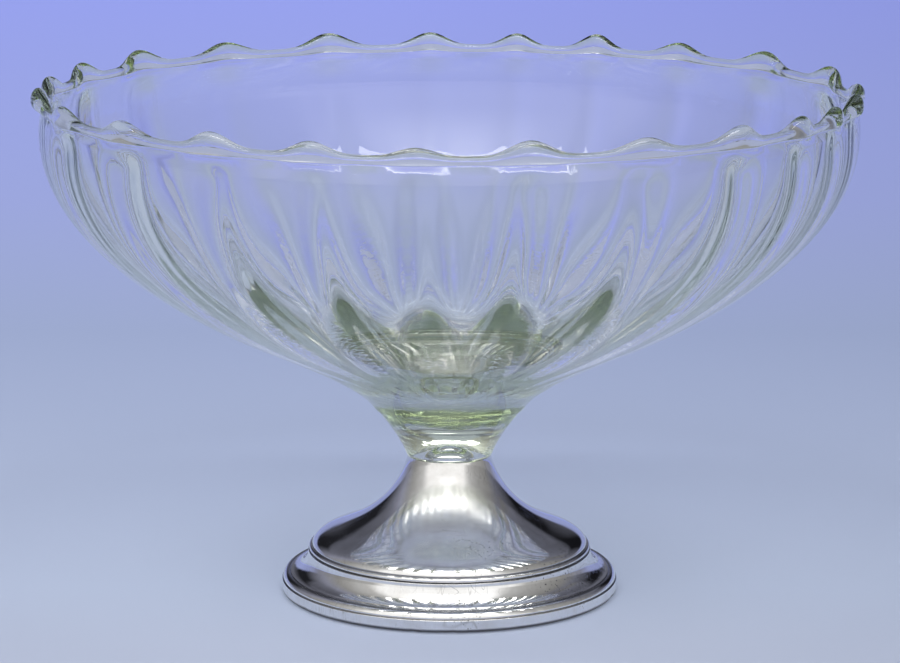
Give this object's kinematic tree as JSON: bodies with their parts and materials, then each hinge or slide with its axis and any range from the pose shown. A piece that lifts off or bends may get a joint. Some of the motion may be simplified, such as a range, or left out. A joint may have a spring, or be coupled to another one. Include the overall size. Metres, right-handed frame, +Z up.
{
  "type": "footed bowl",
  "caption": "Wide ribbed clear glass bowl with a wavy crested rim and a short flared stem, cemented into the collar of a weighted, stepped silver foot; for fruit or flowers.",
  "frame": {"origin": "on the table, under the middle of the foot", "axes": "+Z up along the axis of the bowl and foot; -Y is the front side, +X is to the right seen from the front"},
  "size_m": [0.2541, 0.2537, 0.1612],
  "materials": {
    "clear_glass": "clear, faintly green, fire-polished",
    "polished_silver": "polished silver with fine scratches and light tarnish",
    "plaster_cement": "matt cream plaster",
    "weighting_compound": "matt poured compound",
    "tinned_plate": "dull tinned sheet",
    "felt": "green baize"
  },
  "bodies": {
    "root": {"glass_bowl": "clear_glass", "foot_shell": "polished_silver", "peg_cement": "plaster_cement", "foot_filling": "weighting_compound", "base_plate": "tinned_plate", "felt_pad": "felt"}
  },
  "joints": []
}
